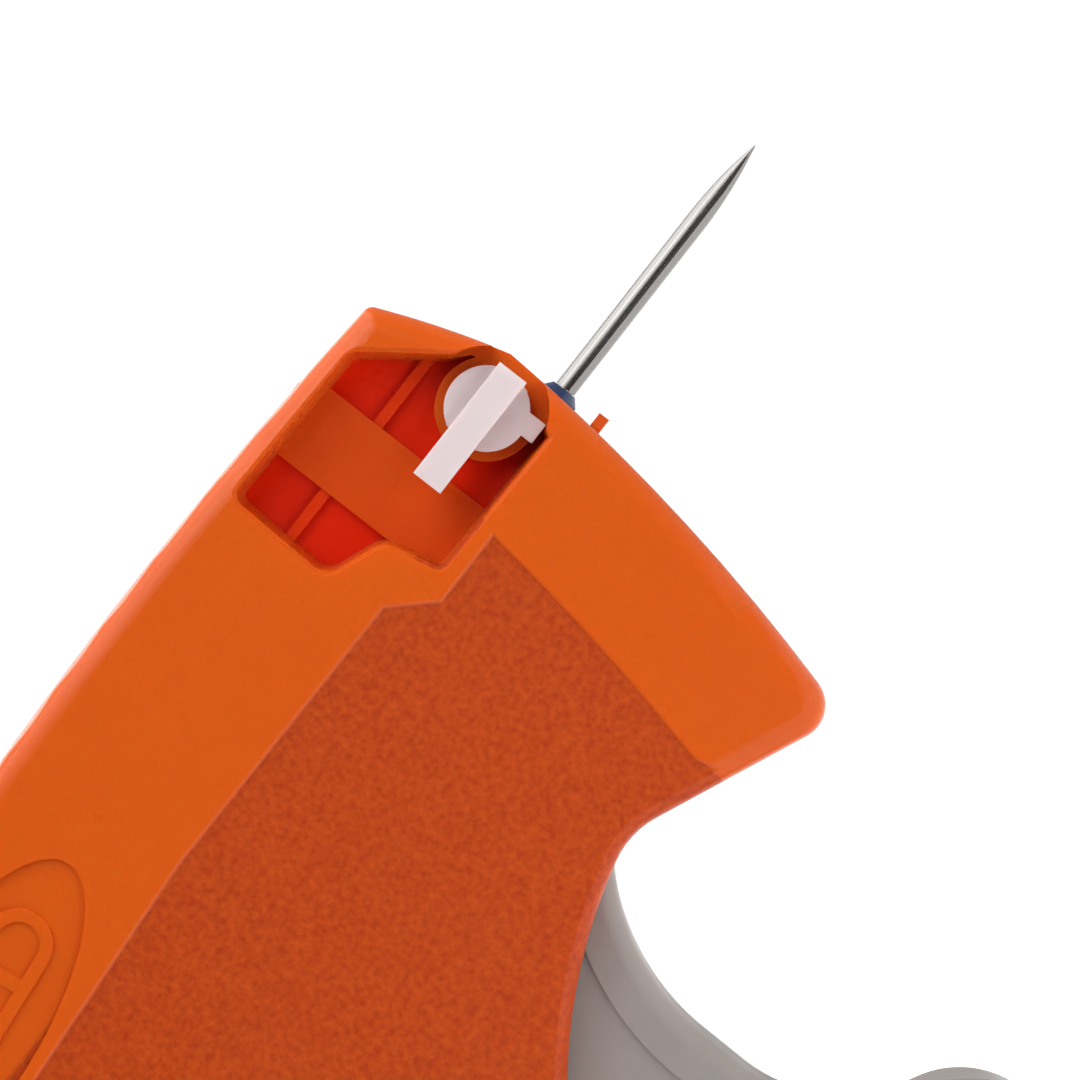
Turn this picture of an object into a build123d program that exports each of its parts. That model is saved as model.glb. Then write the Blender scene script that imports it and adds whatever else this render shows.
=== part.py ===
from build123d import *
import os

os.makedirs("parts", exist_ok=True)

# Price-tag attacher. X runs forward along the needle, Z up, Y to the tool's left. Millimetres.
# The origin is on the needle's axis where the steel leaves its hub.

# Driving dimensions
HALF = 12.0            # half width of the body
WALL = 2.0             # shell wall
EDGE = 2.4             # radius of the side panels' outer edge
BAY = 5.5              # left face of the feed bay
BAY_X = -26.0          # rear wall of the feed bay
CHANNEL = 8.3          # length of the tag-pin channel, along X
CHANNEL_X = -18.55     # middle of the channel
CHANNEL_HALF = 1.1     # half width of the channel
SLIT = 2.0             # width of the upright filament slit
PATH = 1.0             # height of the filament slit behind the needle
NEEDLE_R = 1.15
SHANK_R = 0.95         # needle inside its hub
NEEDLE_BORE = 0.75
NEEDLE_TIP = 30.8
GRIND_X = 21.0         # where the ground point begins
HUB_R = 2.1
KNOB_X, KNOB_Z = -6.49, 4.72
SHAFT_R = 3.0          # needle lock shaft
SEAT_Y = -7.8          # top of the boss that the lock turns on
STRIP_Y = -6.2         # face of the raised feed strip
FLOOR_Y = -4.8         # floor of the recess
TRIGGER_X, TRIGGER_Z = -37.0, -25.0
LEVER_X, LEVER_Z = -82.0, -42.0
SLIDER_X = -107.0      # slider pin at rest
RUN = 0.05             # radial clearance of a running pin
GRIP_X, GRIP_Z, GRIP_R = -20.97, -85.1, 54.0   # finger curve of the handle
WHEEL_Y, WHEEL_Z = -5.45, -12.0
TEETH = 12
SCREWS = [(-11.2, -34.6), (-50.0, 14.0), (-110.2, -21.0), (-85.5, -94.5)]
HANG_X, HANG_Z, HANG_R = -103.5, -93.5, 2.5


def at_x(x):
    """Picks the vertices of the current sketch that have this X."""
    return vertices().filter_by(lambda v: abs(v.X - x) < 0.01)


def body_outline(inset=0.0):
    """Side view of the body: crowned top, round rear, waisted handle, sloping nose."""
    with BuildLine() as line:
        ThreePointArc((-0.8, 6.2), (-2.9, 13.0), (-5.7, 20.1))
        top = ThreePointArc((-5.7, 20.1), (-42.0, 21.5), (-102.0, 17.6))
        rear = TangentArc(top @ 1, (-117.0, 1.0), tangent=top % 1)
        back = TangentArc(rear @ 1, (-110.5, -42.0), tangent=rear % 1)
        TangentArc(back @ 1, (-113.0, -103.6), tangent=back % 1)
        Line((-113.0, -103.6), (-76.0, -102.4))
        Line((-76.0, -102.4), (GRIP_X - GRIP_R, GRIP_Z))
        ThreePointArc((GRIP_X - GRIP_R, GRIP_Z), (-51.8, -40.8), (-30.55, -31.95))
        Line((-30.55, -31.95), (-8.8, -41.4))
        ThreePointArc((-8.8, -41.4), (-3.05, -15.7), (-0.8, 6.2))
    make_face(line.edges())
    for x, radius in ((-113.0, 8.0), (-76.0, 7.0), (-30.55, 9.0), (-8.8, 3.5), (-5.7, 1.2)):
        fillet(at_x(x), radius)
    if inset:
        offset(amount=-inset, mode=Mode.REPLACE)


def trigger_outline():
    """Side view of the trigger with its hub at the top and its lip at the foot."""
    with BuildLine() as line:
        brow = ThreePointArc((-33.2, -32.0), (-38.7, -38.6), (-42.0, -49.6))
        Line(brow @ 1, (-42.1, -56.0))
        hollow = TangentArc((-42.1, -56.0), (-33.0, -70.5), tangent=(0, -1))
        lip = TangentArc(hollow @ 1, (-29.0, -86.0), tangent=hollow % 1)
        TangentArc(lip @ 1, (-44.0, -93.5), tangent=lip % 1)
        Polyline((-44.0, -93.5), (-62.0, -93.0), (-78.0, -88.0), (-77.0, -66.0), (-68.5, -61.4),
                 (-67.0, -56.0), (-61.4, -40.0), (-43.0, -20.0))
        ThreePointArc((-43.0, -20.0), (-36.2, -17.3), (-30.0, -24.5))
        Polyline((-30.0, -24.5), (-30.5, -29.6), (-33.2, -32.0))
    make_face(line.edges())


def recess_outline():
    """Rim of the recess that holds the needle lock and the outside of the feed channel."""
    with BuildLine() as line:
        Polyline((-10.3, 18.7), (-4.6, 10.9), (-2.9, 9.3), (-2.4, 6.0), (-2.4, 2.0), (-5.0, -1.9),
                 (-21.6, -1.5), (-23.0, 4.6), (-29.2, 7.0), (-28.7, 19.1), (-10.3, 18.7))
    make_face(line.edges())
    for x, radius in ((-29.2, 2.4), (-23.0, 2.2), (-28.7, 1.4), (-21.6, 0.8), (-10.3, 2.0)):
        fillet(at_x(x), radius)


def grip_outline():
    """Textured field of the handle, behind the nose panel and below the smooth band."""
    with BuildLine() as line:
        ThreePointArc((-15.6, -3.2), (-17.8, -18.5), (-21.3, -34.8))
        Polyline((-21.3, -34.8), (-6.0, -41.4), (-6.0, -60.0), (-60.0, -70.0), (-66.0, -120.0),
                 (-125.0, -120.0), (-125.0, -3.5), (-60.0, 1.2), (-28.0, 0.9), (-24.0, -3.2), (-15.6, -3.2))
    make_face(line.edges())


def on_side(x, z, y):
    """Plane parallel to the side panels, facing the tool's right."""
    return Plane(origin=(x, y, z), x_dir=(1, 0, 0), z_dir=(0, -1, 0))


def across(x, z, y_low, y_high, radius, mode=Mode.ADD):
    """Round bar along Y."""
    with BuildSketch(on_side(x, z, y_high)) as disc:
        Circle(radius)
    extrude(disc.sketch, amount=y_high - y_low, mode=mode)


def along(x_low, x_high, y, z, radius, mode=Mode.ADD):
    """Round bar along X."""
    with BuildSketch(Plane(origin=(x_low, y, z), x_dir=(0, 1, 0), z_dir=(1, 0, 0))) as disc:
        Circle(radius)
    extrude(disc.sketch, amount=x_high - x_low, mode=mode)


def block(x_low, x_high, y_low, y_high, z_low, z_high, mode=Mode.ADD):
    """Straight block between two corners."""
    with Locations(((x_low + x_high) / 2, (y_low + y_high) / 2, (z_low + z_high) / 2)):
        Box(x_high - x_low, y_high - y_low, z_high - z_low, mode=mode)


def save(part, name):
    part.label = name
    export_step(part, "parts/" + name + ".step")


def shell_blank(side):
    """One half of the body, hollow. side is -1 for the right half and 1 for the left."""
    with BuildSketch(Plane.XZ) as outside:
        body_outline()
    extrude(outside.sketch, amount=-side * HALF)
    fillet(edges().filter_by_position(Axis.Y, side * HALF - 0.01, side * HALF + 0.01), EDGE)
    with BuildSketch(Plane.XZ) as inside:
        body_outline(WALL)
    extrude(inside.sketch, amount=-side * (HALF - WALL), mode=Mode.SUBTRACT)


def finger_opening(side):
    """Opening along the finger curve that the trigger swings through."""
    with BuildSketch(Plane.XZ) as gap:
        with Locations((GRIP_X, GRIP_Z)):
            Circle(GRIP_R + 3.6)
        with Locations((-60.5, -55.5)):
            Rectangle(59.0, 69.0, mode=Mode.INTERSECT)
    extrude(gap.sketch, amount=-side * 7.5, mode=Mode.SUBTRACT)


def boss(side, x, z, y_end, radius, bore, wall_y=HALF - WALL):
    """Post from a side panel's inner face to y_end, with a bore."""
    low, high = sorted((side * (wall_y + 0.1), y_end))
    across(x, z, low, high, radius)
    across(x, z, low, high, bore, mode=Mode.SUBTRACT)


def side_dress(side):
    """Shallow grip field and oval badge on a side panel."""
    face = Plane.XZ.offset(-side * HALF)
    with BuildSketch(Plane.XY, mode=Mode.PRIVATE) as field:
        grip_outline()
        fillet(field.vertices().filter_by(lambda v: abs(v.X + 21.3) < 0.01), 4.0)
    with BuildSketch(face) as grip:
        body_outline()
        add(field.sketch, mode=Mode.INTERSECT)
    extrude(grip.sketch, amount=side * 0.25, taper=60.0, mode=Mode.SUBTRACT)
    with BuildSketch(face) as oval:
        with Locations(Location((-85.4, 7.6), 6.0)):
            Ellipse(18.8, 7.2)
    extrude(oval.sketch, amount=side * 0.5, mode=Mode.SUBTRACT)
    with BuildSketch(Plane.XZ.offset(-side * (HALF - 0.55))) as motif:
        with Locations(Location((-85.4, 7.6), 6.0)):
            SlotOverall(26.0, 7.0)
            SlotOverall(23.4, 4.4, mode=Mode.SUBTRACT)
            with Locations((-6.0, 0), (0, 0), (6.0, 0)):
                Rectangle(1.4, 4.8)
    extrude(motif.sketch, amount=-side * 0.4)


def body_clip(inset):
    """Keeps the part of the current sketch that lies inside the body's side view."""
    with BuildSketch(Plane.XY, mode=Mode.PRIVATE) as inside:
        body_outline(inset)
    add(inside.sketch, mode=Mode.INTERSECT)


def cover_clip():
    """Keeps the part of the current sketch that the front cover takes."""
    with Locations((CHANNEL_X + SLIT / 2 + 15.0, PATH / 2 + 15.0)):
        Rectangle(30.0, 30.0, mode=Mode.INTERSECT)


def channel_mouths():
    """Openings of the tag-pin channel in the top and bottom walls."""
    block(CHANNEL_X - CHANNEL / 2, CHANNEL_X + CHANNEL / 2, -CHANNEL_HALF, CHANNEL_HALF, 17.0, 24.0,
          mode=Mode.SUBTRACT)
    block(CHANNEL_X - CHANNEL / 2, CHANNEL_X + CHANNEL / 2, -CHANNEL_HALF, CHANNEL_HALF, -45.0, -29.0,
          mode=Mode.SUBTRACT)


def left_face(x):
    """Y of the left side's outer face at this X."""
    return BAY if x > BAY_X else HALF


def toothed(x_low, x_high, tip, root, land):
    """Toothed wheel on the feed axle, turned so that a tooth points right. land is the tip's width."""
    wheel = Plane(origin=(x_low, WHEEL_Y, WHEEL_Z), x_dir=(0, -1, 0), z_dir=(1, 0, 0))
    with BuildSketch(wheel) as profile:
        Circle(root)
        with PolarLocations(0.0, TEETH):
            Polygon((root - 0.3, -0.75), (tip, -land / 2 - 0.02), (tip, land / 2 + 0.02),
                    (root - 0.3, 0.75), align=None)
    extrude(profile.sketch, amount=x_high - x_low)


# Right shell: recess with the lock's seat and the feed strip, nose panel, grip field, badge
with BuildPart() as right_shell:
    shell_blank(-1)
    with BuildSketch(Plane.XZ.offset(-FLOOR_Y - 1.5)):
        recess_outline()
        offset(amount=1.4, mode=Mode.REPLACE)
        body_clip(1.0)
    extrude(amount=HALF + FLOOR_Y + 0.5)
    with BuildSketch(Plane.XZ.offset(HALF)):
        recess_outline()
    extrude(amount=-(HALF + FLOOR_Y), taper=4.5, mode=Mode.SUBTRACT)
    with BuildSketch(Plane.XZ.offset(HALF)):
        recess_outline()
        offset(amount=0.4, mode=Mode.REPLACE)
    extrude(amount=-0.4, taper=40.0, mode=Mode.SUBTRACT)
    across(KNOB_X, KNOB_Z, -HALF - 0.1, SEAT_Y, 6.15, mode=Mode.SUBTRACT)
    with BuildSketch(Plane.XZ.offset(-FLOOR_Y - 0.1)):
        recess_outline()
        with Locations((CHANNEL_X, 8.6)):
            Rectangle(CHANNEL, 30.0, mode=Mode.INTERSECT)
    extrude(amount=FLOOR_Y - STRIP_Y + 0.1)
    with BuildSketch(Plane.XZ.offset(-FLOOR_Y - 0.1)):
        recess_outline()
        with Locations((-17.0, 12.3)):
            Rectangle(30.0, 1.1, mode=Mode.INTERSECT)
    extrude(amount=1.0)
    across(KNOB_X, KNOB_Z, SEAT_Y, FLOOR_Y + 1.5, 5.2)
    across(KNOB_X, KNOB_Z, -HALF, 0.0, SHAFT_R + RUN, mode=Mode.SUBTRACT)
    side_dress(-1)
    finger_opening(-1)
    channel_mouths()
    along(-4.0, 1.0, 0.0, 0.0, HUB_R + RUN, mode=Mode.SUBTRACT)
    boss(-1, TRIGGER_X, TRIGGER_Z, -7.4, 4.5, 2.5)
    for x, z in SCREWS:
        boss(-1, x, z, 0.0, 3.2, 1.5)
    boss(-1, HANG_X, HANG_Z, 0.0, HANG_R + 2.0, HANG_R)
    across(HANG_X, HANG_Z, -HALF - 1.0, 0.0, HANG_R, mode=Mode.SUBTRACT)
save(right_shell.part, "right_shell")

# Left shell: stepped down at the front to the feed bay, with the filament slit
with BuildPart() as left_shell:
    shell_blank(1)
    block(BAY_X, 8.0, BAY, HALF + 1.0, -50.0, 30.0, mode=Mode.SUBTRACT)
    with BuildSketch(Plane.XZ.offset(-BAY + 1.8)):
        body_outline()
        with Locations((-13.0, -10.0)):
            Rectangle(2.0 * (-13.0 - BAY_X + 2.0), 80.0, mode=Mode.INTERSECT)
    extrude(amount=-1.8)
    with BuildSketch(Plane.XZ.offset(-BAY + 0.1)):
        body_outline(0.8)
        with Locations((BAY_X - 1.0, -5.0)):
            Rectangle(2.0, 80.0, mode=Mode.INTERSECT)
    extrude(amount=-(HALF - 1.0 - BAY))
    block(-22.7, CHANNEL_X - SLIT / 2, CHANNEL_HALF, 4.2, 19.5, 21.45)
    side_dress(1)
    finger_opening(1)
    block(CHANNEL_X - SLIT / 2, 8.0, -1.0, HALF, -PATH / 2, 30.0, mode=Mode.SUBTRACT)
    along(-4.0, 1.0, 0.0, 0.0, HUB_R + RUN, mode=Mode.SUBTRACT)
    with BuildSketch(Plane.XY.offset(-5.4)):
        with BuildLine():
            Polyline((-3.0, 1.0), (-3.0, 3.6), (-1.0, 3.6), (0.3, 2.4), (0.3, 2.0), (-1.0, 1.0), (-3.0, 1.0))
        make_face()
    extrude(amount=1.2)
    boss(1, TRIGGER_X, TRIGGER_Z, 7.4, 4.5, 2.5)
    boss(1, LEVER_X, LEVER_Z, 4.7, 2.8, 2.0)
    boss(1, HANG_X, HANG_Z, 0.0, HANG_R + 2.0, HANG_R)
    across(HANG_X, HANG_Z, 0.0, HALF + 1.0, HANG_R, mode=Mode.SUBTRACT)
    for x, z in SCREWS:
        face = left_face(x)
        across(x, z, 0.0, face - 0.3, 4.0)
        across(x, z, 0.0, face, 1.7, mode=Mode.SUBTRACT)
        across(x, z, face - 2.4, face + 1.0, 3.1, mode=Mode.SUBTRACT)
    channel_mouths()
save(left_shell.part, "left_shell")

# Front cover: closes the left side over the needle seat, above the filament path
with BuildPart() as front_cover:
    with BuildSketch(Plane.XZ):
        body_outline()
        cover_clip()
    extrude(amount=-BAY)
    fillet(edges().filter_by_position(Axis.Y, BAY - 0.01, BAY + 0.01).sort_by(Axis.X)[-3:], 0.8)
    with BuildSketch(Plane.XZ):
        body_outline(1.5)
        cover_clip()
    extrude(amount=-BAY + 1.5, mode=Mode.SUBTRACT)
    block(CHANNEL_X + SLIT / 2, -15.9, CHANNEL_HALF, 4.2, 19.5, 21.45)
    channel_mouths()
    along(-4.0, 1.0, 0.0, 0.0, HUB_R + RUN, mode=Mode.SUBTRACT)
save(front_cover.part, "front_cover")

# Needle: slit tube, slit facing left, ground to a long point
with BuildPart() as needle:
    along(-12.3, 0.1, 0.0, 0.0, SHANK_R)
    along(0.0, GRIND_X, 0.0, 0.0, NEEDLE_R)
    for x, y, half_y, half_z in ((GRIND_X, 0.0, NEEDLE_R, NEEDLE_R), (26.6, -0.45, 0.62, 0.78),
                                 (NEEDLE_TIP, -0.93, 0.06, 0.06)):
        with BuildSketch(Plane(origin=(x, y, 0.0), x_dir=(0, 1, 0), z_dir=(1, 0, 0))):
            Ellipse(half_y, half_z)
    loft()
    along(-13.0, NEEDLE_TIP + 1.0, 0.0, 0.0, NEEDLE_BORE, mode=Mode.SUBTRACT)
    block(-13.0, NEEDLE_TIP + 1.0, 0.0, 2.0, -0.3, 0.3, mode=Mode.SUBTRACT)
    block(0.0, NEEDLE_TIP + 1.0, -2.0, -1.0, -0.45, -0.1, mode=Mode.SUBTRACT)
    with BuildSketch(Plane.XY.offset(-3.0)):
        with BuildLine():
            Polyline((22.0, 2.0), (22.0, 1.2), (NEEDLE_TIP + 0.5, -0.95), (NEEDLE_TIP + 0.5, 2.0), (22.0, 2.0))
        make_face()
    extrude(amount=6.0, mode=Mode.SUBTRACT)
save(needle.part, "needle")

# Needle hub: moulded on the needle's shank, notched where the lock's shaft crosses it
with BuildPart() as needle_hub:
    with BuildSketch(Plane.XZ):
        Polygon((-12.4, 0.0), (-12.4, HUB_R), (-1.0, HUB_R), (-0.1, 1.35), (-0.1, 0.0), align=None)
    revolve(axis=Axis.X)
    along(-13.0, 1.0, 0.0, 0.0, SHANK_R, mode=Mode.SUBTRACT)
    block(-13.0, 1.0, 0.0, 3.0, -0.35, 0.35, mode=Mode.SUBTRACT)
    across(KNOB_X, KNOB_Z, -4.0, 4.0, SHAFT_R + 0.1, mode=Mode.SUBTRACT)
save(needle_hub.part, "needle_hub")

# Needle seat: socket that the hub slides into
with BuildPart() as needle_seat:
    block(-12.6, -4.0, -2.4, 3.2, -3.2, 3.2)
    along(-13.0, 0.0, 0.0, 0.0, HUB_R + RUN, mode=Mode.SUBTRACT)
    block(-13.0, 0.0, 0.0, 4.0, -PATH / 2, PATH / 2, mode=Mode.SUBTRACT)
    across(KNOB_X, KNOB_Z, -4.0, 4.0, SHAFT_R + 0.1, mode=Mode.SUBTRACT)
save(needle_seat.part, "needle_seat")

# Needle lock: disc with a lever bar and a stop tab on a shaft with a release flat
with BuildPart() as lock_knob:
    across(KNOB_X, KNOB_Z, -9.5, SEAT_Y - 0.2, 4.25)
    across(KNOB_X, KNOB_Z, SEAT_Y - 0.2, 2.2, SHAFT_R)
    block(-15.9, -2.35, -11.4, -9.5, KNOB_Z - 1.55, KNOB_Z + 1.75)
    block(-6.5, -4.2, -9.5, SEAT_Y - 0.2, -0.85, KNOB_Z)
    across(KNOB_X, KNOB_Z, -3.25, -2.55, SHAFT_R + 1.0, mode=Mode.SUBTRACT)
    across(KNOB_X, KNOB_Z, -3.25, -2.55, 2.3)
    with BuildSketch(Plane(origin=(KNOB_X, 0.0, KNOB_Z), x_dir=(0.94, 0, -0.342), z_dir=(0, -1, 0))):
        with Locations((3.7, 0.0)):
            Rectangle(3.0, 7.0)
    extrude(amount=2.3, both=True, mode=Mode.SUBTRACT)
save(lock_knob.part, "lock_knob")

# Retaining clip in the lock shaft's groove
with BuildPart() as knob_clip:
    across(KNOB_X, KNOB_Z, -3.2, -2.6, 3.4)
    across(KNOB_X, KNOB_Z, -3.2, -2.6, 2.35, mode=Mode.SUBTRACT)
    block(KNOB_X - 5.0, KNOB_X, -4.0, -2.0, KNOB_Z - 1.2, KNOB_Z + 1.2, mode=Mode.SUBTRACT)
save(knob_clip.part, "knob_clip")

# Cutter blade: parts the filament from its clip as the pin is driven
with BuildPart() as cutter_blade:
    block(-13.2, -12.7, -1.9, 3.4, -4.5, 4.5)
    along(-14.0, -12.0, 0.0, 0.0, 0.85, mode=Mode.SUBTRACT)
    block(-14.0, -12.0, 0.0, 4.0, -PATH / 2, PATH / 2, mode=Mode.SUBTRACT)
    chamfer(edges().filter_by(Axis.Z).sort_by(Axis.Y)[-2:].sort_by(Axis.X)[0], 0.3)
save(cutter_blade.part, "cutter_blade")

# Feed guide: upright channel for the pin clip, rod way across it, ears for the feed axle
with BuildPart() as feed_guide:
    block(-24.5, -13.2, -1.9, 3.6, -30.0, 18.0)
    for x_low, x_high in ((-24.4, -23.0), (-13.9, -12.5)):
        block(x_low, x_high, -7.6, -1.0, -14.6, -9.4)
    block(CHANNEL_X - CHANNEL / 2, CHANNEL_X + CHANNEL / 2, -CHANNEL_HALF, CHANNEL_HALF, -31.0, 19.0,
          mode=Mode.SUBTRACT)
    block(CHANNEL_X - SLIT / 2, CHANNEL_X + SLIT / 2, 0.0, 4.0, -PATH / 2, 19.0, mode=Mode.SUBTRACT)
    block(CHANNEL_X, -13.0, 0.0, 4.0, -PATH / 2, PATH / 2, mode=Mode.SUBTRACT)
    block(-21.0, -14.0, -2.0, -1.0, -16.4, -7.6, mode=Mode.SUBTRACT)
    along(-25.0, -22.0, 0.0, 0.0, 0.65, mode=Mode.SUBTRACT)
    along(-15.0, -13.0, 0.0, 0.0, 0.85, mode=Mode.SUBTRACT)
    along(-25.0, -12.0, WHEEL_Y, WHEEL_Z, 1.0 + RUN, mode=Mode.SUBTRACT)
save(feed_guide.part, "feed_guide")

# Feed wheel: its teeth reach through the guide's wall and push the clip on
with BuildPart() as feed_wheel:
    toothed(-20.5, -16.7, 4.1, 3.1, 0.5)
    along(-21.0, -16.0, WHEEL_Y, WHEEL_Z, 1.0, mode=Mode.SUBTRACT)
save(feed_wheel.part, "feed_wheel")

# Ratchet wheel on the same axle
with BuildPart() as ratchet_wheel:
    toothed(-15.4, -14.1, 3.5, 2.7, 0.0)
    along(-16.0, -14.0, WHEEL_Y, WHEEL_Z, 1.0, mode=Mode.SUBTRACT)
save(ratchet_wheel.part, "ratchet_wheel")

# Feed axle
with BuildPart() as feed_axle:
    along(-24.3, -12.3, WHEEL_Y, WHEEL_Z, 1.0)
    chamfer(edges().filter_by(GeomType.CIRCLE), 0.2)
save(feed_axle.part, "feed_axle")

# Feed bar: drawn down by the trigger's horn
with BuildPart() as feed_bar:
    block(-31.5, -13.6, -9.85, -8.2, -27.2, -26.3)
    block(-18.4, -13.6, -9.85, -8.2, -27.2, -18.0)
    block(-15.6, -13.9, -9.9, -9.4, -20.5, -17.0, mode=Mode.SUBTRACT)
    fillet(edges().filter_by(Axis.Y).sort_by(Axis.Z)[-4:].sort_by(Axis.X)[0], 1.0)
save(feed_bar.part, "feed_bar")

# Feed pawl: strip of spring steel in the feed bar's slot
with BuildPart() as feed_pawl:
    block(-15.6, -13.9, -9.8, -9.4, -20.5, -12.6)
    chamfer(edges().filter_by(Axis.X).sort_by(Axis.Z)[-1], 0.3)
save(feed_pawl.part, "feed_pawl")

# Detent spring: leaf above the ratchet wheel
with BuildPart() as detent_spring:
    block(-15.3, -14.2, -7.2, -1.9, -8.2, -7.95)
    block(-15.3, -14.2, -2.15, -1.9, -8.2, -5.2)
save(detent_spring.part, "detent_spring")

# Trigger: open channel with a finger wall, a hub, a cam web behind and a horn for the feed bar
with BuildPart() as trigger:
    with BuildSketch(Plane.XZ):
        trigger_outline()
    extrude(amount=7.0, both=True)
    round_off = edges().filter_by(lambda e: abs(abs(e.center().Y) - 7.0) < 0.01)
    front = round_off.filter_by(lambda e: e.center().X > -46.0 and e.center().Z < -33.0)
    fillet(front, 2.0)
    with BuildSketch(Plane.XZ):
        trigger_outline()
        offset(amount=-2.4, mode=Mode.REPLACE)
        Polygon((-57.0, -37.5), (-85.0, -37.5), (-85.0, -86.0), (-57.0, -90.6), align=None)
    extrude(amount=5.0, both=True, mode=Mode.SUBTRACT)
    for side in (-1, 1):
        with BuildSketch(Plane.XZ.offset(-side * 6.5)):
            trigger_outline()
            offset(amount=-4.8, mode=Mode.REPLACE)
        extrude(amount=-side * 1.0, mode=Mode.SUBTRACT)
    across(TRIGGER_X, TRIGGER_Z, -7.0, 7.0, 5.0)
    with BuildSketch(Plane.XZ.offset(-0.3)):
        with BuildLine():
            ThreePointArc((-70.9, -52.0), (-71.1, -63.5), (-69.2, -75.0))
            Polyline((-69.2, -75.0), (-60.0, -77.5), (-38.5, -76.0), (-43.4, -66.0), (-44.0, -53.0),
                     (-62.0, -50.0), (-70.9, -52.0))
        make_face()
    extrude(amount=3.2)
    block(-32.2, -30.0, -9.6, -6.0, -26.0, -23.8)
    across(TRIGGER_X, TRIGGER_Z, -8.0, 8.0, 2.5 + RUN, mode=Mode.SUBTRACT)
save(trigger.part, "trigger")

# Trigger pin
with BuildPart() as trigger_pin:
    across(TRIGGER_X, TRIGGER_Z, -9.9, 9.9, 2.5)
    chamfer(edges().filter_by(GeomType.CIRCLE), 0.3)
save(trigger_pin.part, "trigger_pin")

# Drive lever: long forked arm up to the slider, short arm down to the roller
ARM = Vector(SLIDER_X - LEVER_X, 0.0, -LEVER_Z).normalized()
with BuildPart() as drive_lever:
    with BuildSketch(Plane(origin=(LEVER_X, 4.5, LEVER_Z), x_dir=ARM, z_dir=(0, -1, 0))):
        Circle(5.2)
        with BuildLine():
            Polyline((-15.0, -3.0), (0.0, -5.0), (48.0, -4.7), (48.0, 4.7), (0.0, 5.0), (-15.0, 3.0),
                     (-15.0, -3.0))
        make_face()
        with Locations((-15.0, 0.0)):
            Circle(3.0)
        with Locations((49.0, 0.0)):
            Circle(4.8)
        Circle(2.0 + RUN, mode=Mode.SUBTRACT)
        with Locations((-15.0, 0.0)):
            Circle(1.2, mode=Mode.SUBTRACT)
        with Locations((45.5, 0.0)):
            SlotCenterToCenter(7.6, 5.3, mode=Mode.SUBTRACT)
        with Locations((20.0, 0.0)):
            SlotCenterToCenter(16.0, 3.6, mode=Mode.SUBTRACT)
    extrude(amount=3.9)
save(drive_lever.part, "drive_lever")

# Lever pin, held by the left shell
with BuildPart() as lever_pin:
    across(LEVER_X, LEVER_Z, 0.7, 9.9, 2.0)
    chamfer(edges().filter_by(GeomType.CIRCLE), 0.2)
save(lever_pin.part, "lever_pin")

# Roller and its pin at the lever's short arm
ROLLER_X = LEVER_X - 15.0 * ARM.X
ROLLER_Z = LEVER_Z - 15.0 * ARM.Z
with BuildPart() as lever_roller:
    across(ROLLER_X, ROLLER_Z, -3.3, 0.3, 3.0)
    across(ROLLER_X, ROLLER_Z, -4.0, 1.0, 1.2 + RUN, mode=Mode.SUBTRACT)
    chamfer(edges().filter_by(GeomType.CIRCLE).filter_by(lambda e: e.radius > 2.0), 0.3)
save(lever_roller.part, "lever_roller")

with BuildPart() as roller_pin:
    across(ROLLER_X, ROLLER_Z, -3.5, 4.5, 1.2)
    across(ROLLER_X, ROLLER_Z, -4.2, -3.4, 2.0)
save(roller_pin.part, "roller_pin")

# Slider: carries the push rod along the barrel, slotted for the drive lever
with BuildPart() as slider:
    block(SLIDER_X - 5.0, SLIDER_X + 13.5, -7.2, 7.2, -5.0, 5.0)
    block(SLIDER_X - 6.0, SLIDER_X + 9.7, 0.3, 4.8, -6.0, 6.0, mode=Mode.SUBTRACT)
    across(SLIDER_X, 0.0, -5.5, 8.0, 1.5, mode=Mode.SUBTRACT)
    along(SLIDER_X + 10.0, SLIDER_X + 14.0, 0.0, 0.0, 0.55, mode=Mode.SUBTRACT)
    chamfer(edges().filter_by(Axis.X).filter_by(lambda e: abs(abs(e.center().Y) - 7.2) < 0.01), 0.5)
save(slider.part, "slider")

with BuildPart() as slider_pin:
    across(SLIDER_X, 0.0, -5.4, 7.0, 1.5)
save(slider_pin.part, "slider_pin")

# Push rod: drives the pin's cross bar through the needle
with BuildPart() as push_rod:
    along(SLIDER_X + 10.1, -24.0, 0.0, 0.0, 0.55)
save(push_rod.part, "push_rod")

# Slider rails: a pair of facing channels
with BuildPart() as slider_rails:
    for side in (-1, 1):
        low, high = sorted((side * 5.1, side * 9.95))
        block(-113.2, -42.0, low, high, -6.4, 6.4)
        low, high = sorted((side * 5.0, side * 7.35))
        block(-114.0, -41.0, low, high, -5.15, 5.15, mode=Mode.SUBTRACT)
save(slider_rails.part, "slider_rails")

# Return spring around the push rod
TURNS = 17
with BuildPart() as return_spring:
    with BuildLine():
        coil = Helix(pitch=68.0 / TURNS, height=68.0, radius=2.3, center=(-93.0, 0, 0), direction=(1, 0, 0))
    with BuildSketch(Plane(origin=coil @ 0, z_dir=coil % 0)):
        Circle(0.4)
    sweep(is_frenet=True)
save(return_spring.part, "return_spring")

# Stop bumper behind the slider
with BuildPart() as stop_bumper:
    along(-114.7, -112.3, 0.0, 0.0, 3.4)
    chamfer(edges().filter_by(GeomType.CIRCLE).sort_by(Axis.X)[-1], 0.4)
save(stop_bumper.part, "stop_bumper")

# Shell screws: the same self-tapping screw at every post
with BuildPart() as shell_screws:
    for x, z in SCREWS:
        face = left_face(x)
        across(x, z, face - 2.3, face - 0.5, 2.9)
        across(x, z, max(face - 18.0, -9.0), face - 2.3, 1.45)
        for turn in (0, 90):
            with BuildSketch(on_side(x, z, face - 0.4)):
                Rectangle(*((3.4, 0.8) if turn else (0.8, 3.4)))
            extrude(amount=1.3, mode=Mode.SUBTRACT)
save(shell_screws.part, "shell_screws")
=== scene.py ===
import bpy
import math
from mathutils import Matrix, Vector


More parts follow.
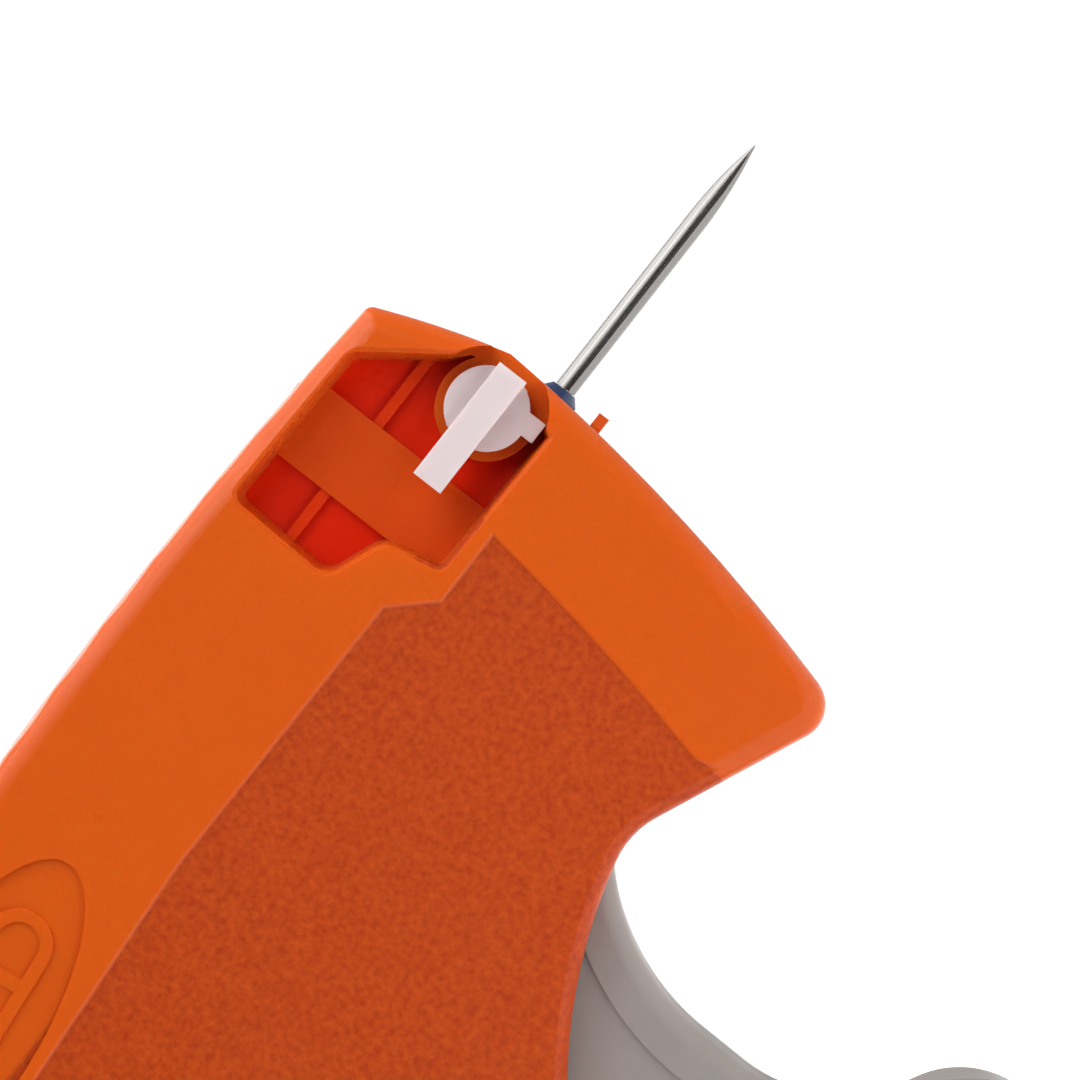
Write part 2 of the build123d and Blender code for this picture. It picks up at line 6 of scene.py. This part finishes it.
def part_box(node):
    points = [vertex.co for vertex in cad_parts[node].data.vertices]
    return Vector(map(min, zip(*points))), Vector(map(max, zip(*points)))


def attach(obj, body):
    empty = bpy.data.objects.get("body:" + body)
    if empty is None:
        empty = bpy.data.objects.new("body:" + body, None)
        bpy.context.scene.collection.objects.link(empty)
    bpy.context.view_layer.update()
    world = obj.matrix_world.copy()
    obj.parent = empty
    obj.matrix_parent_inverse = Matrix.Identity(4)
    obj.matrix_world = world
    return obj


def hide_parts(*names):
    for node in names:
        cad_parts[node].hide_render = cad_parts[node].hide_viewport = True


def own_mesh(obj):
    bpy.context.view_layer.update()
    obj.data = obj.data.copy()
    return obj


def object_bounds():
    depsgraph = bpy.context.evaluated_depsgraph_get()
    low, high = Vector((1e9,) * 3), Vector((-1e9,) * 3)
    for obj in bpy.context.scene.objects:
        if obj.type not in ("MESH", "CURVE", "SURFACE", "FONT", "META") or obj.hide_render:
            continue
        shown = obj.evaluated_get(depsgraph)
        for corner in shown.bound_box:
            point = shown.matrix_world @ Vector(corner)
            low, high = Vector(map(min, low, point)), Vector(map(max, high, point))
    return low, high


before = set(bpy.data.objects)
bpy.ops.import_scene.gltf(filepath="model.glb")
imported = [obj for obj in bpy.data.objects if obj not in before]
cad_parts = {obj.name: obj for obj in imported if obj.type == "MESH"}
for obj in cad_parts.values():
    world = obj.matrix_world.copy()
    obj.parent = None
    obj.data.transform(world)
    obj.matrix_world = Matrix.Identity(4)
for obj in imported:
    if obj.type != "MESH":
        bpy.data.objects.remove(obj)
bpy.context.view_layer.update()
MM = 0.001

# Needle lock, in millimetres: its shaft's centre from the knob's lowest corner, and its own sizes
LOCK_X = 9.41
LOCK_Z = 5.57
DISC_R = 4.25
DISC_OUT = -9.5           # outer face of the disc
DISC_IN = -8.0
LEVER_OUT = -11.4         # outer face of the lever bar
TAB_LENGTH = 2.29
FLASH = ((-28.0, 0.13), (150.0, 0.12))   # angle on the rim in degrees, and radius
SHAFT_R = 3.0
SHAFT_END = 2.2

# Stage, in metres
FLOOR_R = 0.4
FLOOR_GAP = 0.0005
LENS = 167.0
SENSOR = 36.0
SIGHT = 0.108             # width of what the camera sees at the tool
ROLL = math.radians(52.0)
MIDDLE = Vector((-13.45, 0.0, -7.33)) * MM

# Which finish each carried-over node gets
ORANGE = ["right_shell", "left_shell", "front_cover"]
STEEL = ["needle", "push_rod"]
PLATED = ["feed_axle", "trigger_pin", "lever_pin", "roller_pin", "slider_pin", "shell_screws"]
SPRING = ["knob_clip", "cutter_blade", "feed_pawl", "detent_spring", "return_spring"]
BLACK = ["needle_seat", "feed_guide", "feed_bar", "drive_lever", "slider", "slider_rails"]
WHITE = ["lock_knob", "feed_wheel", "ratchet_wheel", "lever_roller"]


def linear(hex_colour):
    """sRGB hex to linear RGBA."""
    parts = [int(hex_colour[i:i + 2], 16) / 255 for i in (1, 3, 5)]
    return [c / 12.92 if c <= 0.04045 else ((c + 0.055) / 1.055) ** 2.4 for c in parts] + [1.0]


def node(tree, kind, settings=None, links=None):
    """Adds a node, sets its properties and sockets by name or number, and links sockets into it."""
    made = tree.nodes.new(kind)
    for key, value in (settings or {}).items():
        if isinstance(key, str) and hasattr(made, key):
            setattr(made, key, value)
        else:
            made.inputs[key].default_value = value
    for key, source in (links or {}).items():
        tree.links.new(source, made.inputs[key])
    return made


def new_material(name):
    """Empty material with a surface shader and Object coordinates."""
    material = bpy.data.materials.new(name)
    material.use_nodes = True
    tree = material.node_tree
    tree.nodes.clear()
    shader = node(tree, "ShaderNodeBsdfPrincipled")
    node(tree, "ShaderNodeOutputMaterial", links={0: shader.outputs[0]})
    place = node(tree, "ShaderNodeTexCoord").outputs["Object"]
    return material, tree, shader, place


def region(tree, limits):
    """Mask that is 1 where each measure has passed from its first value to its second."""
    mask = None
    for measure, start, end in limits:
        links = {"Value": measure}
        if mask:
            links["To Max"] = mask
        mask = node(tree, "ShaderNodeMapRange", {"From Min": start, "From Max": end}, links).outputs[0]
    return mask


def moulded_orange_abs():
    """Injection-moulded ABS: glossy bands, a spark-eroded grain on the grip that scatters the light, painted
    shade on the grip field and a painted red glow in the recess.
    """
    material, tree, shader, place = new_material("moulded_orange_abs")
    x, y, z = node(tree, "ShaderNodeSeparateXYZ", links={0: place}).outputs

    # The grip field lies 0.25 mm below the smooth panels; two straight borders close it off
    depth = node(tree, "ShaderNodeMath", {"operation": "ABSOLUTE"}, {0: y}).outputs[0]
    lean = node(tree, "ShaderNodeMath", {"operation": "MULTIPLY_ADD", 1: -0.17}, {0: z, 2: x}).outputs[0]
    field = region(tree, ((depth, 11.90 * MM, 11.78 * MM), (depth, 9.0 * MM, 9.4 * MM),
                          (z, 1.5 * MM, 1.0 * MM), (lean, -14.6 * MM, -15.1 * MM)))

    # Spark grain: lands and pits of about half a millimetre
    lands = node(tree, "ShaderNodeTexNoise", {"Scale": 1 / (0.7 * MM), "Detail": 2.0, "Roughness": 0.55},
                 {"Vector": place}).outputs["Fac"]
    pits = node(tree, "ShaderNodeTexVoronoi", {"Scale": 1 / (0.8 * MM), "Randomness": 1.0},
                {"Vector": place}).outputs["Distance"]
    relief = node(tree, "ShaderNodeMath", {"operation": "MULTIPLY_ADD", 1: 0.45}, {0: pits, 2: lands})
    force = node(tree, "ShaderNodeMath", {"operation": "MULTIPLY", 1: 0.6}, {0: field})
    grain = node(tree, "ShaderNodeBump", {"Distance": 0.10 * MM},
                 {"Height": relief.outputs[0], "Strength": force.outputs[0]})
    # Shallow sink and flow waves, a couple of centimetres long, on the smooth panels
    waves = node(tree, "ShaderNodeTexNoise", {"Scale": 1 / (18.0 * MM), "Detail": 1.0},
                 {"Vector": place}).outputs["Fac"]
    flow = node(tree, "ShaderNodeBump", {"Distance": 0.5 * MM, "Strength": 0.3},
                {"Height": waves, "Normal": grain.outputs[0]})
    tree.links.new(flow.outputs[0], shader.inputs["Normal"])

    # Handling dulls the gloss in patches, and the grain dulls it more
    haze = node(tree, "ShaderNodeTexNoise", {"Scale": 1 / (9.0 * MM), "Detail": 5.0, "Roughness": 0.6},
                {"Vector": place}).outputs["Fac"]
    gloss = node(tree, "ShaderNodeMath", {"operation": "MULTIPLY_ADD", 1: 0.12, 2: 0.22}, {0: haze})
    dulled = node(tree, "ShaderNodeMath", {"operation": "MULTIPLY_ADD", 1: 0.14},
                  {0: field, 2: gloss.outputs[0]})
    tree.links.new(dulled.outputs[0], shader.inputs["Roughness"])

    tone = node(tree, "ShaderNodeMix", {"data_type": "RGBA", 6: linear("#D85C14"), 7: linear("#CF550F")},
                {0: haze})
    # Painted shade: the grip field's colour is darkened toward deep orange, most where the grain's lands are
    # low, standing in for the shade the grain casts
    shade = node(tree, "ShaderNodeMath", {"operation": "MULTIPLY_ADD", "use_clamp": True, 1: -1.3, 2: 1.35},
                 {0: lands})
    painted_grip_shade = node(tree, "ShaderNodeMath", {"operation": "MULTIPLY"}, {0: field, 1: shade.outputs[0]})
    grip = node(tree, "ShaderNodeMix", {"data_type": "RGBA", 7: linear("#A83400")},
                {0: painted_grip_shade.outputs[0], 6: tone.outputs[2]})
    # Painted glow: the recess floor is tinted bright red by position (its depth and facing), standing in for
    # light that would reach it through the thin orange walls
    facing = node(tree, "ShaderNodeSeparateXYZ",
                  links={0: node(tree, "ShaderNodeTexCoord").outputs["Normal"]}).outputs[1]
    painted_glow_mask = region(tree, ((depth, 6.5 * MM, 5.3 * MM), (depth, 3.6 * MM, 4.2 * MM), (facing, -0.6, -0.85)))
    painted_glow_tone = node(tree, "ShaderNodeMix", {"data_type": "RGBA", 7: linear("#EE2A02")},
                      {0: painted_glow_mask, 6: grip.outputs[2]})
    tree.links.new(painted_glow_tone.outputs[2], shader.inputs["Base Color"])
    shader.inputs["IOR"].default_value = 1.53
    shader.inputs["Specular IOR Level"].default_value = 0.22
    shader.inputs["Subsurface Weight"].default_value = 0.35
    shader.inputs["Subsurface Radius"].default_value = (1.0, 0.18, 0.03)
    shader.inputs["Subsurface Scale"].default_value = 3.0 * MM
    return material


def ground_needle_steel():
    """Drawn stainless tube: fine lines along its length."""
    material, tree, shader, place = new_material("ground_needle_steel")
    stretched = node(tree, "ShaderNodeMapping", {"Scale": (1 / (12.0 * MM), 1 / (0.3 * MM), 1 / (0.3 * MM))},
                     {"Vector": place})
    lines = node(tree, "ShaderNodeTexNoise", {"Scale": 1.0, "Detail": 3.0}, {"Vector": stretched.outputs[0]})
    bump = node(tree, "ShaderNodeBump", {"Distance": 0.01 * MM, "Strength": 0.12},
                {"Height": lines.outputs["Fac"]})
    tree.links.new(bump.outputs[0], shader.inputs["Normal"])
    ramp = node(tree, "ShaderNodeMapRange", {"To Min": 0.2, "To Max": 0.36}, {"Value": lines.outputs["Fac"]})
    tree.links.new(ramp.outputs[0], shader.inputs["Roughness"])
    shader.inputs["Base Color"].default_value = linear("#868482")
    shader.inputs["Metallic"].default_value = 1.0
    return material


def finish(name, colour, other, rough, metallic=0.0, ior=1.5, grain=0.8, strength=0.15, scatter=0.0):
    """Moulded plastic or metal: cloudy tone over 3 mm, and a faint relief of the given grain in mm."""
    material, tree, shader, place = new_material(name)
    cloud = node(tree, "ShaderNodeTexNoise", {"Scale": 1 / (3.0 * MM), "Detail": 4.0}, {"Vector": place})
    tone = node(tree, "ShaderNodeMix", {"data_type": "RGBA", 6: linear(colour), 7: linear(other)},
                {0: cloud.outputs["Fac"]})
    tree.links.new(tone.outputs[2], shader.inputs["Base Color"])
    fine = node(tree, "ShaderNodeTexNoise", {"Scale": 1 / (grain * MM), "Detail": 3.0}, {"Vector": place})
    bump = node(tree, "ShaderNodeBump", {"Distance": 0.03 * MM, "Strength": strength},
                {"Height": fine.outputs["Fac"]})
    tree.links.new(bump.outputs[0], shader.inputs["Normal"])
    spread = node(tree, "ShaderNodeMapRange", {"To Min": rough - 0.06, "To Max": rough + 0.06},
                  {"Value": cloud.outputs["Fac"]})
    tree.links.new(spread.outputs[0], shader.inputs["Roughness"])
    shader.inputs["Metallic"].default_value = metallic
    if not metallic:
        shader.inputs["IOR"].default_value = ior
    if scatter:
        shader.inputs["Subsurface Weight"].default_value = scatter
        shader.inputs["Subsurface Radius"].default_value = (1.0, 0.6, 0.55)
        shader.inputs["Subsurface Scale"].default_value = 1.5 * MM
    return material


orange = moulded_orange_abs()
steel = ground_needle_steel()
# Natural nylon: milky, the light goes a millimetre or two into it; the pinkish cast of its tone is painted
# reflected light, the orange bounce from the shell
nylon = finish("moulded_natural_nylon", "#E2D6D7", "#D8CACB", 0.42, ior=1.53, scatter=0.6)
# Satin polypropylene: smooth warm grey with a soft sheen
grey = finish("moulded_grey_polypropylene", "#98918D", "#8F8884", 0.34, ior=1.49, strength=0.08, scatter=0.1)
# Blue polypropylene: dark, slightly glossy, uneven at the moulding gate
blue = finish("moulded_blue_polypropylene", "#253A68", "#1A2747", 0.35, ior=1.49, grain=0.6, strength=0.9)
# Glass-filled nylon: black with a dull grey bloom
black = finish("moulded_black_nylon", "#232326", "#303033", 0.5, ior=1.53)
# Zinc-plated steel: pale grey, slightly matt
plated = finish("zinc_plated_steel", "#B8B9BC", "#A2A4A9", 0.34, metallic=1.0, grain=0.3)
# Blued spring steel: darker and cooler
sprung = finish("blued_spring_steel", "#7D7F86", "#6A6C73", 0.3, metallic=1.0, grain=0.3)
# Vulcanised rubber: matt black
rubber = finish("vulcanised_rubber", "#1B1B1B", "#262626", 0.8, ior=1.52)

finishes = [(ORANGE, orange), (STEEL, steel), (PLATED, plated), (SPRING, sprung), (BLACK, black),
            (WHITE, nylon), (["needle_hub"], blue), (["trigger"], grey), (["stop_bumper"], rubber)]
for names, material in finishes:
    for name in names:
        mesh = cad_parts[name].data
        mesh.materials.clear()
        mesh.materials.append(material)


def clear_selection():
    if bpy.context.mode != "OBJECT":
        bpy.ops.object.mode_set(mode="OBJECT")
    bpy.ops.object.select_all(action="DESELECT")


def make_active(piece):
    clear_selection()
    piece.select_set(True)
    bpy.context.view_layer.objects.active = piece


def bar(low, high):
    """Box between two corners, in millimetres."""
    clear_selection()
    size = [(b - a) * MM for a, b in zip(low, high)]
    middle = [(a + b) / 2 * MM for a, b in zip(low, high)]
    bpy.ops.mesh.primitive_cube_add(size=1.0, location=middle)
    piece = bpy.context.object
    piece.scale = size
    bpy.ops.object.transform_apply(location=True, rotation=True, scale=True)
    return piece


def round_bar(start, end, radius, sides=64):
    """Round bar between two points, in millimetres."""
    clear_selection()
    a, b = Vector(start) * MM, Vector(end) * MM
    turn = (b - a).to_track_quat("Z", "X").to_euler()
    bpy.ops.mesh.primitive_cylinder_add(vertices=sides, radius=radius * MM, depth=(b - a).length,
                                        location=(a + b) / 2, rotation=turn)
    bpy.ops.object.transform_apply(location=True, rotation=True, scale=True)
    return bpy.context.object


def merge(piece, other, operation):
    """Joins another solid to a piece, or cuts it out."""
    cut = piece.modifiers.new("cut", "BOOLEAN")
    cut.operation = operation
    cut.solver = "EXACT"
    cut.object = other
    make_active(piece)
    bpy.ops.object.modifier_apply(modifier=cut.name)
    bpy.data.objects.remove(other)


def soften(piece, width):
    """Rounds the piece's sharp edges by width millimetres and shades it smooth."""
    make_active(piece)
    rounding = piece.modifiers.new("rounding", "BEVEL")
    rounding.width = width * MM
    rounding.segments = 3
    rounding.limit_method = "ANGLE"
    rounding.angle_limit = math.radians(30.0)
    rounding.harden_normals = True
    bpy.ops.object.shade_smooth_by_angle(angle=math.radians(30.0))
    bpy.ops.object.modifier_apply(modifier=rounding.name)


def done(piece, name, material, body, slot, *stands_for):
    """Names a finished piece, gives it its finish and hands it to its body."""
    piece.name = name
    piece.data.name = name
    piece.data.materials.clear()
    piece.data.materials.append(material)
    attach(piece, body)
    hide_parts(*stands_for)


def needle_lock():
    """Nylon lock: disc, lever bar, stop tab, moulding flash on the rim, shaft with its flat."""
    low, high = [[v / MM for v in corner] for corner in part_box("lock_knob")]
    x, z = low[0] + LOCK_X, low[2] + LOCK_Z
    lock = round_bar((x, DISC_OUT, z), (x, DISC_IN, z), DISC_R, 96)
    lever = bar((low[0], LEVER_OUT, z - 1.55), (high[0] + 0.1, DISC_OUT + 0.1, z + 1.75))
    merge(lock, lever, "UNION")
    tab = bar((x - 0.01, DISC_OUT, low[2]), (x + TAB_LENGTH, DISC_IN, z))
    merge(lock, tab, "UNION")
    soften(lock, 0.16)
    for angle, radius in FLASH:
        rim_x = x + (DISC_R - 0.05) * math.cos(math.radians(angle))
        rim_z = z + (DISC_R - 0.05) * math.sin(math.radians(angle))
        bur = round_bar((rim_x, DISC_OUT + 0.3, rim_z), (rim_x, DISC_OUT + 0.7, rim_z), radius, 12)
        merge(lock, bur, "UNION")
    shaft = round_bar((x, DISC_IN - 0.1, z), (x, SHAFT_END, z), SHAFT_R)
    flat = bar((x - 2.0, -2.3, z - 8.0), (x + 8.0, 2.3, z - 2.35))
    merge(shaft, flat, "DIFFERENCE")
    merge(lock, shaft, "UNION")
    make_active(lock)
    bpy.ops.object.shade_smooth_by_angle(angle=math.radians(32.0))
    done(lock, "needle_lock", nylon, "lock_knob", "white_nylon", "lock_knob")


def return_coil():
    """Return spring: a merged, smooth-shaded copy of the coil that stays with the body."""
    spring = bpy.data.objects.new("return_coil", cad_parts["return_spring"].data.copy())
    bpy.context.collection.objects.link(spring)
    make_active(spring)
    bpy.ops.object.mode_set(mode="EDIT")
    bpy.ops.mesh.select_all(action="SELECT")
    bpy.ops.mesh.remove_doubles(threshold=0.001 * MM)
    bpy.ops.object.mode_set(mode="OBJECT")
    bpy.ops.object.shade_smooth_by_angle(angle=math.radians(40.0))
    done(spring, "return_coil", sprung, "body", "spring_steel", "return_spring")
    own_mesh(spring)


needle_lock()
return_coil()

# Stage: a pale board under the tool and a white surround
low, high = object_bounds()
clear_selection()
bpy.ops.mesh.primitive_circle_add(vertices=96, radius=FLOOR_R, fill_type="NGON",
                                  location=(-0.04, 0.0, low[2] - FLOOR_GAP))
floor = bpy.context.object
floor.name = "floor"
board = finish("matt_white_board", "#FAFAFA", "#F6F6F6", 0.9)
board_shader = board.node_tree.nodes["Principled BSDF"]
board_shader.inputs["Emission Color"].default_value = (1.0, 1.0, 1.0, 1.0)
board_shader.inputs["Emission Strength"].default_value = 0.35
floor.data.materials.append(board)

# Studio: white to the camera, and for the light it gives, a sweep from dim at the front to bright behind
world = bpy.data.worlds.new("studio")
bpy.context.scene.world = world
world.use_nodes = True
sky = world.node_tree
sky.nodes.clear()
direction = node(sky, "ShaderNodeTexCoord").outputs["Generated"]
side = node(sky, "ShaderNodeSeparateXYZ", links={0: direction}).outputs[1]
level = node(sky, "ShaderNodeMapRange", {"From Min": -0.85, "From Max": -0.1, "To Min": 0.01, "To Max": 0.5},
             {"Value": side})
light_side = node(sky, "ShaderNodeBackground", {"Color": (1.0, 1.0, 1.0, 1.0)},
                  {"Strength": level.outputs[0]})
plain_white = node(sky, "ShaderNodeBackground", {"Color": (1.0, 1.0, 1.0, 1.0), "Strength": 1.05})
seen = node(sky, "ShaderNodeLightPath").outputs["Is Camera Ray"]
both = node(sky, "ShaderNodeMixShader", links={0: seen, 1: light_side.outputs[0], 2: plain_white.outputs[0]})
node(sky, "ShaderNodeOutputWorld", links={0: both.outputs[0]})


def soft_box(name, place, aim, size, power):
    """Square area light at place, facing aim."""
    light = bpy.data.lights.new(name, "AREA")
    light.shape = "SQUARE"
    light.size = size
    light.energy = power
    lamp = bpy.data.objects.new(name, light)
    bpy.context.collection.objects.link(lamp)
    lamp.location = place
    lamp.rotation_euler = (Vector(aim) - Vector(place)).to_track_quat("-Z", "Y").to_euler()


soft_box("key_light", (0.05, -0.40, 0.29), (-0.01, 0.0, 0.0), 0.34, 1.0)
soft_box("far_light", (-0.10, 0.42, 0.30), (-0.04, 0.0, -0.02), 0.4, 1.1)
soft_box("top_light", (0.06, -0.10, 0.42), (0.0, 0.0, 0.0), 0.5, 2.2)

# Camera: level with the tool's right side, rolled so that the needle points up and to the right
up = Vector((math.sin(ROLL), 0.0, math.cos(ROLL)))
right = Vector((math.cos(ROLL), 0.0, -math.sin(ROLL)))
back = Vector((0.0, -1.0, 0.0))
camera = bpy.data.objects.new("camera", bpy.data.cameras.new("camera"))
bpy.context.collection.objects.link(camera)
bpy.context.scene.camera = camera
camera.data.sensor_width = SENSOR
camera.data.lens = LENS
camera.data.clip_start = 0.01
camera.data.clip_end = 50.0
camera.location = MIDDLE + back * SIGHT / SENSOR * LENS
camera.rotation_euler = Matrix((right, up, back)).transposed().to_euler()
bpy.context.scene.view_settings.view_transform = "Standard"
